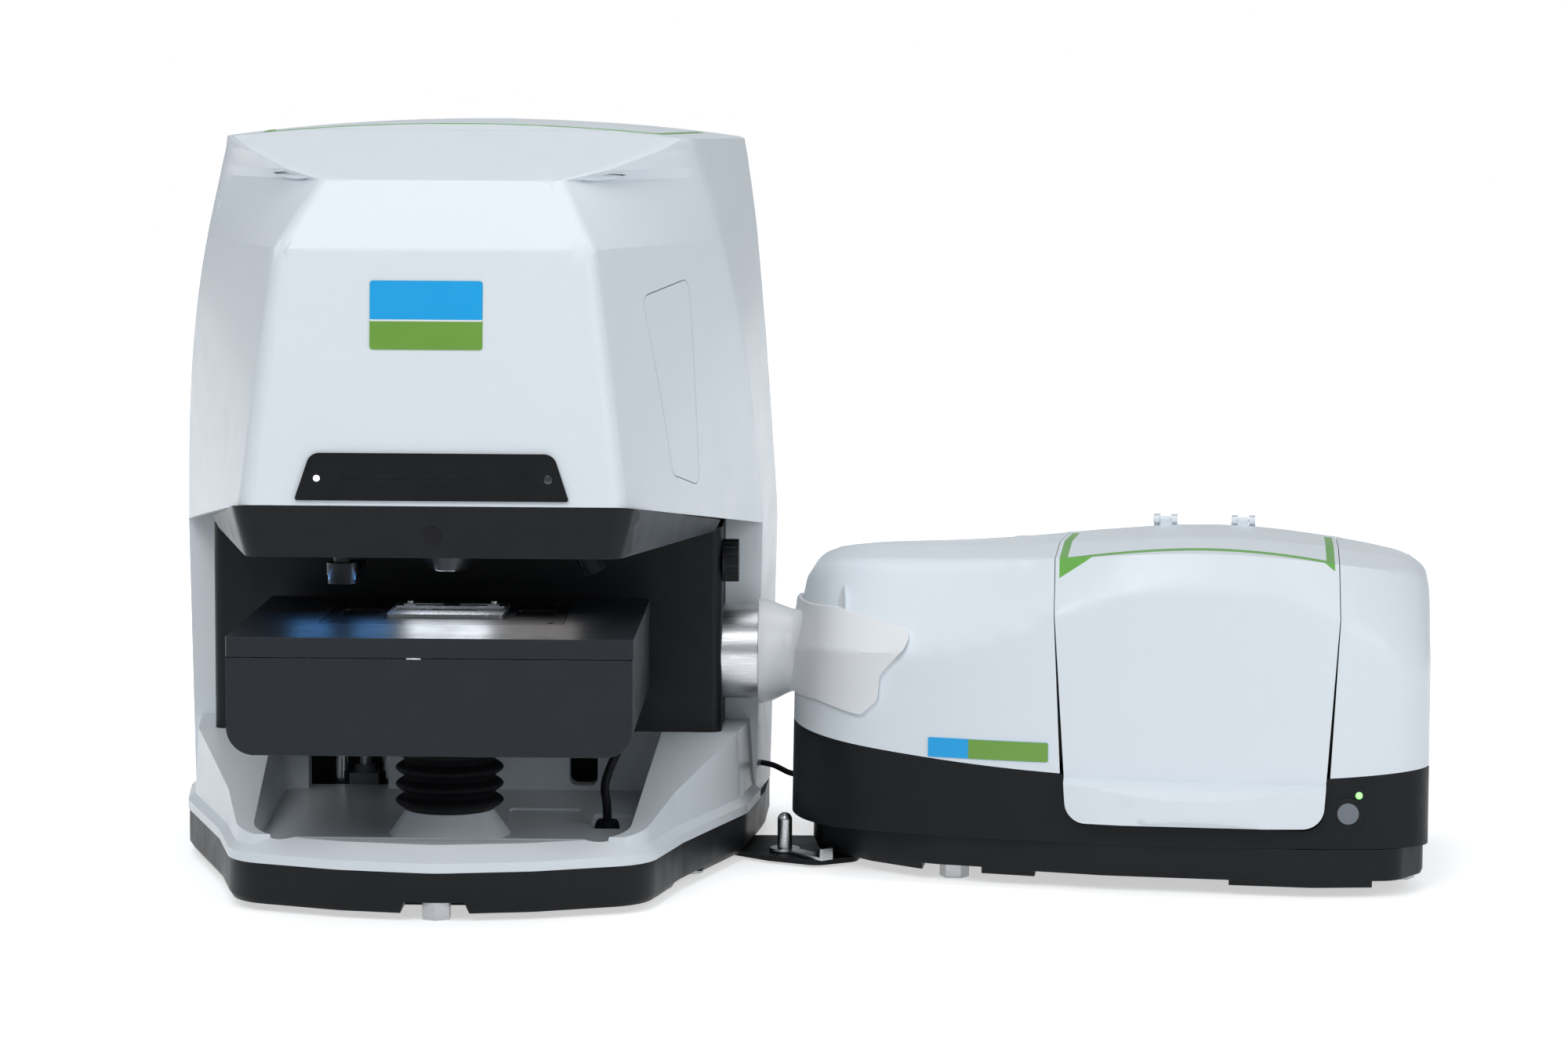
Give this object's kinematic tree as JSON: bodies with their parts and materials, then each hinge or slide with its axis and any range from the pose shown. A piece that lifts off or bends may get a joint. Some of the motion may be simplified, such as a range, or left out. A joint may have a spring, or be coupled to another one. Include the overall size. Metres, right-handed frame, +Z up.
{
  "type": "ftir microscope",
  "caption": "Infrared microscope with a motorised stage under a faceted hood, joined by a beam tube and boot to its bench spectrometer.",
  "frame": {"origin": "middle of the microscope's front foot, on the bench", "axes": "+X to the right seen from the front, +Y to the back, +Z up"},
  "size_m": [0.9554, 0.5257, 0.5513],
  "materials": {
    "white_cover": "satin moulded cover paint",
    "boot_white": "smooth moulding",
    "black_plastic": "fine textured moulding",
    "panel_gloss": "gloss",
    "stage_paint": "fine powder coat",
    "green_trim": "satin inlay",
    "bright_steel": "ground",
    "chrome_rod": "polished",
    "aluminium": "brushed",
    "cast_grey": "cast and painted",
    "rubber_black": "matt",
    "lamp": "lit lens",
    "window": "polished salt window",
    "board_green": "solder mask",
    "button_grey": "satin",
    "foot_grey": "machined"
  },
  "bodies": {
    "instrument": {"front_cover": "white_cover", "rear_cover": "white_cover", "top_lid_trim": "green_trim", "power_inlet": "black_plastic", "base_pan": "black_plastic", "base_cover": "white_cover", "cable_grommet": "rubber_black", "levelling_feet": "foot_grey", "inner_housing": "black_plastic", "visor": "black_plastic", "status_panel": "panel_gloss", "indicator_lamps": "lamp", "bellows": "rubber_black", "condenser": "cast_grey", "guide_rods": "chrome_rod", "focus_motor": "cast_grey", "main_frame": "cast_grey", "optical_bench": "aluminium", "objective": "black_plastic", "mirror_tower": "aluminium", "camera_module": "cast_grey", "detector_dewar": "bright_steel", "control_board": "board_green", "illuminator": "black_plastic", "beam_tube": "aluminium", "coupling_boot": "boot_white", "docking_plate": "black_plastic", "locating_pin": "bright_steel", "stage_cable": "rubber_black", "link_cable": "rubber_black", "spec_band": "black_plastic", "spec_cover": "white_cover", "spec_plinth": "black_plastic", "sample_bay": "stage_paint", "bay_windows": "window", "sample_mount": "aluminium", "optics_casting": "cast_grey", "ir_source": "cast_grey", "laser": "cast_grey", "spec_detector": "cast_grey"},
    "screw": {"lead_screw": "bright_steel"},
    "stage_lift": {"stage_body": "stage_paint", "stage_carriage": "aluminium"},
    "stage_y": {"stage_y_plate": "aluminium"},
    "stage_x": {"stage_top_plate": "stage_paint", "stage_insert": "stage_paint", "slide_holder": "bright_steel", "slide_clips": "bright_steel"},
    "door": {"access_door": "white_cover"},
    "lid": {"top_lid": "white_cover"},
    "nose_button": {"visor_button": "rubber_black"},
    "knob": {"side_knob": "black_plastic"},
    "atr": {"atr_arm": "aluminium", "atr_crystal": "bright_steel"},
    "sample_lid": {"spec_lid": "white_cover", "spec_lid_trim": "green_trim"},
    "switch": {"power_button": "button_grey"},
    "rotor": {"interferometer_rotor": "aluminium"},
    "lever": {"dock_lever": "bright_steel"},
    "fill_cap": {"dewar_cap": "rubber_black"}
  },
  "joints": [
    {"name": "stage_lift", "type": "slide", "parent": "instrument", "child": "stage_lift", "axis": [0, 0, 1], "range_m": [-0.015, 0.008], "deforming": ["bellows", "stage_cable"]},
    {"name": "focus_screw", "type": "hinge", "parent": "instrument", "child": "screw", "pos_m": [-0.087, 0.318, 0.1], "axis": [0, 0, 1], "range_deg": [-1090, 585]},
    {"name": "stage_y", "type": "slide", "parent": "stage_lift", "child": "stage_y", "axis": [0, 1, 0], "range_m": [-0.025, 0.025]},
    {"name": "stage_x", "type": "slide", "parent": "stage_y", "child": "stage_x", "axis": [1, 0, 0], "range_m": [-0.0375, 0.0375]},
    {"name": "access_door", "type": "hinge", "parent": "instrument", "child": "door", "pos_m": [0.17253, 0.13318, 0.29759], "axis": [-0.0659, 0.0248, 0.9975], "range_deg": [0, 90]},
    {"name": "top_lid", "type": "hinge", "parent": "instrument", "child": "lid", "pos_m": [0, 0.3966, 0.53967], "axis": [-1, 0, 0], "range_deg": [0, 70]},
    {"name": "nose_button", "type": "slide", "parent": "instrument", "child": "nose_button", "axis": [0, 1, 0], "range_m": [0, 0.0015], "stiffness_N_per_m": 500},
    {"name": "side_knob", "type": "hinge", "parent": "instrument", "child": "knob", "pos_m": [0.196, 0.248, 0.2238], "axis": [1, 0, 0], "continuous": true},
    {"name": "atr_swing", "type": "hinge", "parent": "instrument", "child": "atr", "pos_m": [-0.076, 0.092, 0.23], "axis": [0, 0, 1], "range_deg": [-88, 0]},
    {"name": "sample_lid", "type": "hinge", "parent": "instrument", "child": "sample_lid", "pos_m": [0.55937, 0.35915, 0.2455], "axis": [-0.9945, 0.1045, 0], "range_deg": [0, 70]},
    {"name": "power_button", "type": "slide", "parent": "instrument", "child": "switch", "axis": [0.1045, 0.9945, 0], "range_m": [0, 0.0015], "stiffness_N_per_m": 500},
    {"name": "interferometer", "type": "hinge", "parent": "instrument", "child": "rotor", "pos_m": [0.36027, 0.28254, 0.06], "axis": [0, 0, 1], "range_deg": [-8, 8]},
    {"name": "dock_lever", "type": "hinge", "parent": "instrument", "child": "lever", "pos_m": [0.238, 0.234, 0.0075], "axis": [0, 0, 1], "range_deg": [-40, 0]},
    {"name": "fill_cap", "type": "slide", "parent": "instrument", "child": "fill_cap", "axis": [0, 0, 1], "range_m": [0, 0.014]}
  ],
  "couplings": [
    {"joint": "focus_screw", "follows": "stage_lift", "rad_per_m": 1256.6}
  ]
}
